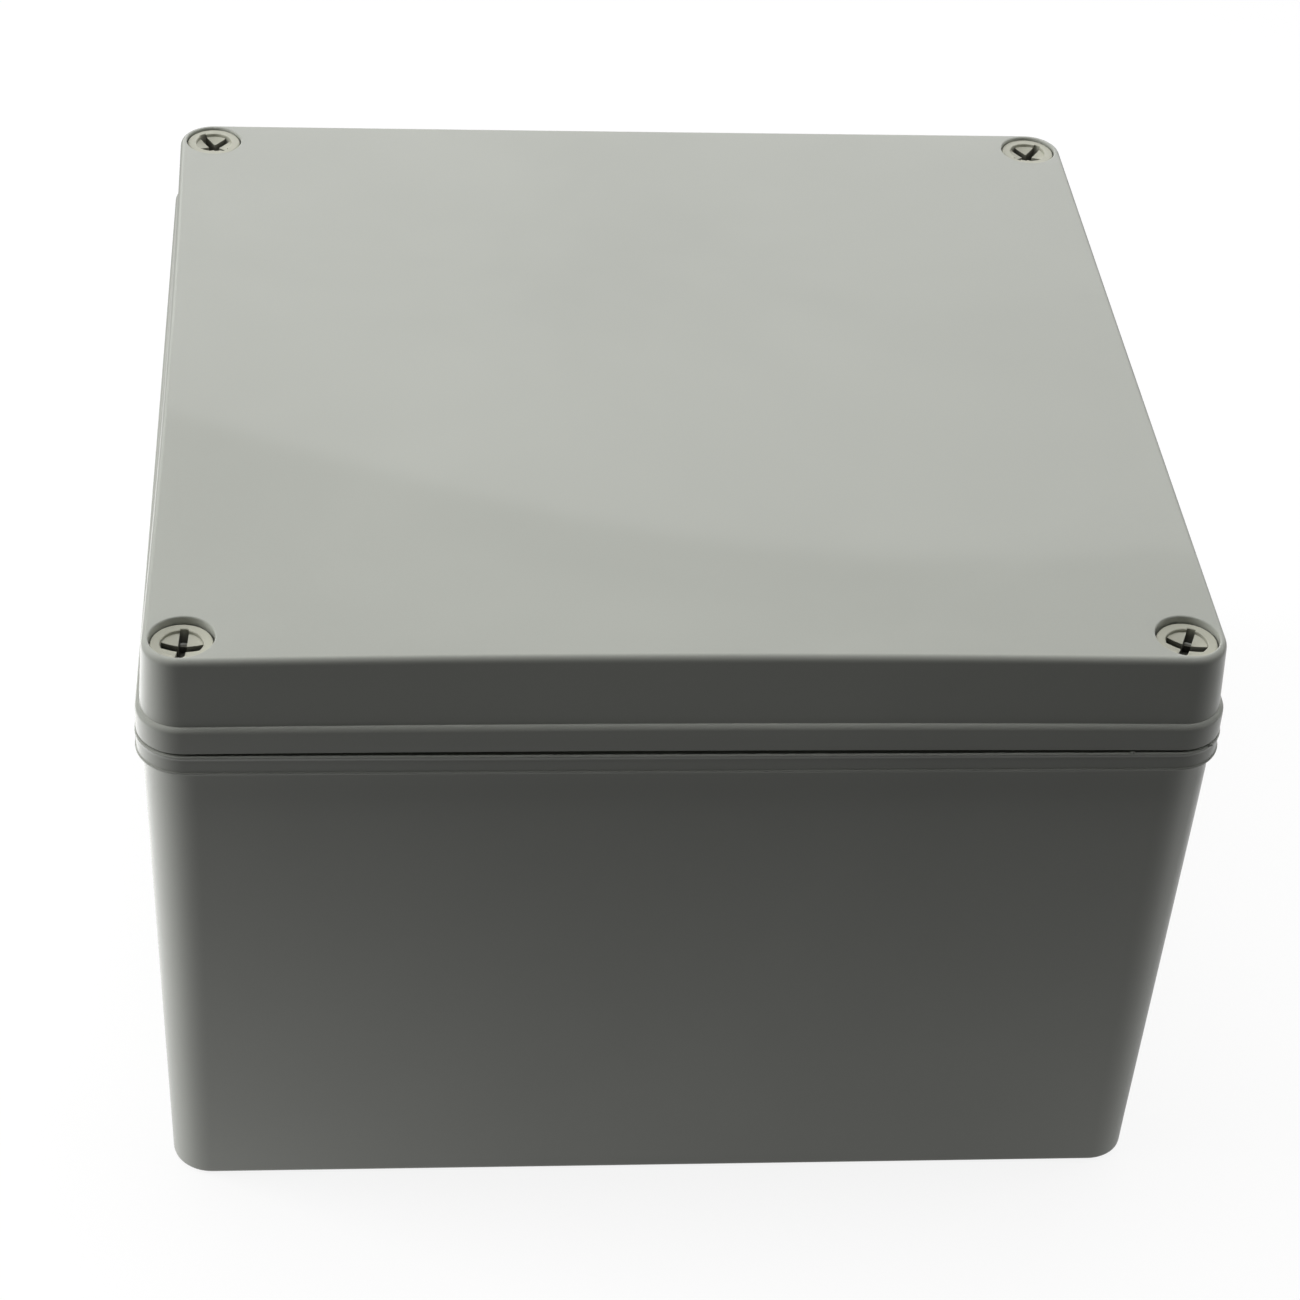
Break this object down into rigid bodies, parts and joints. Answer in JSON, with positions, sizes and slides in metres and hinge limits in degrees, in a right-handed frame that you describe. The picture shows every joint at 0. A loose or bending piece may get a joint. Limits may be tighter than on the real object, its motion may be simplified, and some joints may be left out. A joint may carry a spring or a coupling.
{
  "type": "electrical junction box",
  "caption": "Square deep plastic junction box with a screwed-down lid, sealing gasket, mounting plate and rail terminals inside.",
  "frame": {"origin": "centre of the rear face that sits on the wall", "axes": "+Z from the rear face to the lid, +X to the right along the terminal rail, -Y to the front"},
  "size_m": [0.2, 0.2, 0.13],
  "materials": {
    "enclosure_plastic": "fine satin moulding",
    "screw_plastic": "satin",
    "ring_plastic": "satin",
    "gasket_rubber": "foamed",
    "galvanised_steel": "galvanised",
    "rail_steel": "zinc plated",
    "zinc_screws": "zinc plated",
    "brass": "turned",
    "terminal_grey": "satin",
    "clamp_grey": "satin",
    "terminal_blue": "satin",
    "terminal_green": "satin",
    "bar_metal": "tin plated",
    "spring_steel": "bright"
  },
  "bodies": {
    "base": {"base": "enclosure_plastic", "plate_inserts": "brass", "mounting_plate": "galvanised_steel", "plate_screws": "zinc_screws", "din_rail": "rail_steel", "rail_screws": "zinc_screws", "earth_stud": "brass", "earth_washer": "zinc_screws", "earth_nut": "brass", "terminal_line_1": "terminal_grey", "terminal_line_2": "terminal_grey", "terminal_line_3": "terminal_grey", "terminal_neutral": "terminal_blue", "terminal_earth": "terminal_green", "earth_bar": "bar_metal", "earth_foot": "bar_metal", "current_bars": "bar_metal", "clamp_springs": "spring_steel", "end_cover": "terminal_grey", "end_clamps": "clamp_grey"},
    "lid": {"lid": "enclosure_plastic", "lid_gasket": "gasket_rubber"},
    "ring_front_left": {"screw_ring_front_left": "ring_plastic"},
    "screw_front_left": {"lid_screw_front_left": "screw_plastic"},
    "ring_front_right": {"screw_ring_front_right": "ring_plastic"},
    "screw_front_right": {"lid_screw_front_right": "screw_plastic"},
    "ring_back_left": {"screw_ring_back_left": "ring_plastic"},
    "screw_back_left": {"lid_screw_back_left": "screw_plastic"},
    "ring_back_right": {"screw_ring_back_right": "ring_plastic"},
    "screw_back_right": {"lid_screw_back_right": "screw_plastic"}
  },
  "joints": [
    {"name": "lid_lift", "type": "slide", "parent": "base", "child": "lid", "axis": [0, 0, 1], "range_m": [0, 0.15]},
    {"name": "screw_rise_front_left", "type": "slide", "parent": "lid", "child": "ring_front_left", "axis": [0, 0, 1], "range_m": [0, 0.01]},
    {"name": "screw_turn_front_left", "type": "hinge", "parent": "ring_front_left", "child": "screw_front_left", "pos_m": [-0.0909, -0.0909, 0.1256], "axis": [0, 0, 1], "range_deg": [0, 1441]},
    {"name": "screw_rise_front_right", "type": "slide", "parent": "lid", "child": "ring_front_right", "axis": [0, 0, 1], "range_m": [0, 0.01]},
    {"name": "screw_turn_front_right", "type": "hinge", "parent": "ring_front_right", "child": "screw_front_right", "pos_m": [0.0909, -0.0909, 0.1256], "axis": [0, 0, 1], "range_deg": [0, 1441]},
    {"name": "screw_rise_back_left", "type": "slide", "parent": "lid", "child": "ring_back_left", "axis": [0, 0, 1], "range_m": [0, 0.01]},
    {"name": "screw_turn_back_left", "type": "hinge", "parent": "ring_back_left", "child": "screw_back_left", "pos_m": [-0.0909, 0.0909, 0.1256], "axis": [0, 0, 1], "range_deg": [0, 1441]},
    {"name": "screw_rise_back_right", "type": "slide", "parent": "lid", "child": "ring_back_right", "axis": [0, 0, 1], "range_m": [0, 0.01]},
    {"name": "screw_turn_back_right", "type": "hinge", "parent": "ring_back_right", "child": "screw_back_right", "pos_m": [0.0909, 0.0909, 0.1256], "axis": [0, 0, 1], "range_deg": [0, 1441]}
  ],
  "couplings": [
    {"joint": "screw_turn_front_left", "follows": "screw_rise_front_left", "rad_per_m": 2513.3},
    {"joint": "screw_turn_front_right", "follows": "screw_rise_front_right", "rad_per_m": 2513.3},
    {"joint": "screw_turn_back_left", "follows": "screw_rise_back_left", "rad_per_m": 2513.3},
    {"joint": "screw_turn_back_right", "follows": "screw_rise_back_right", "rad_per_m": 2513.3}
  ]
}
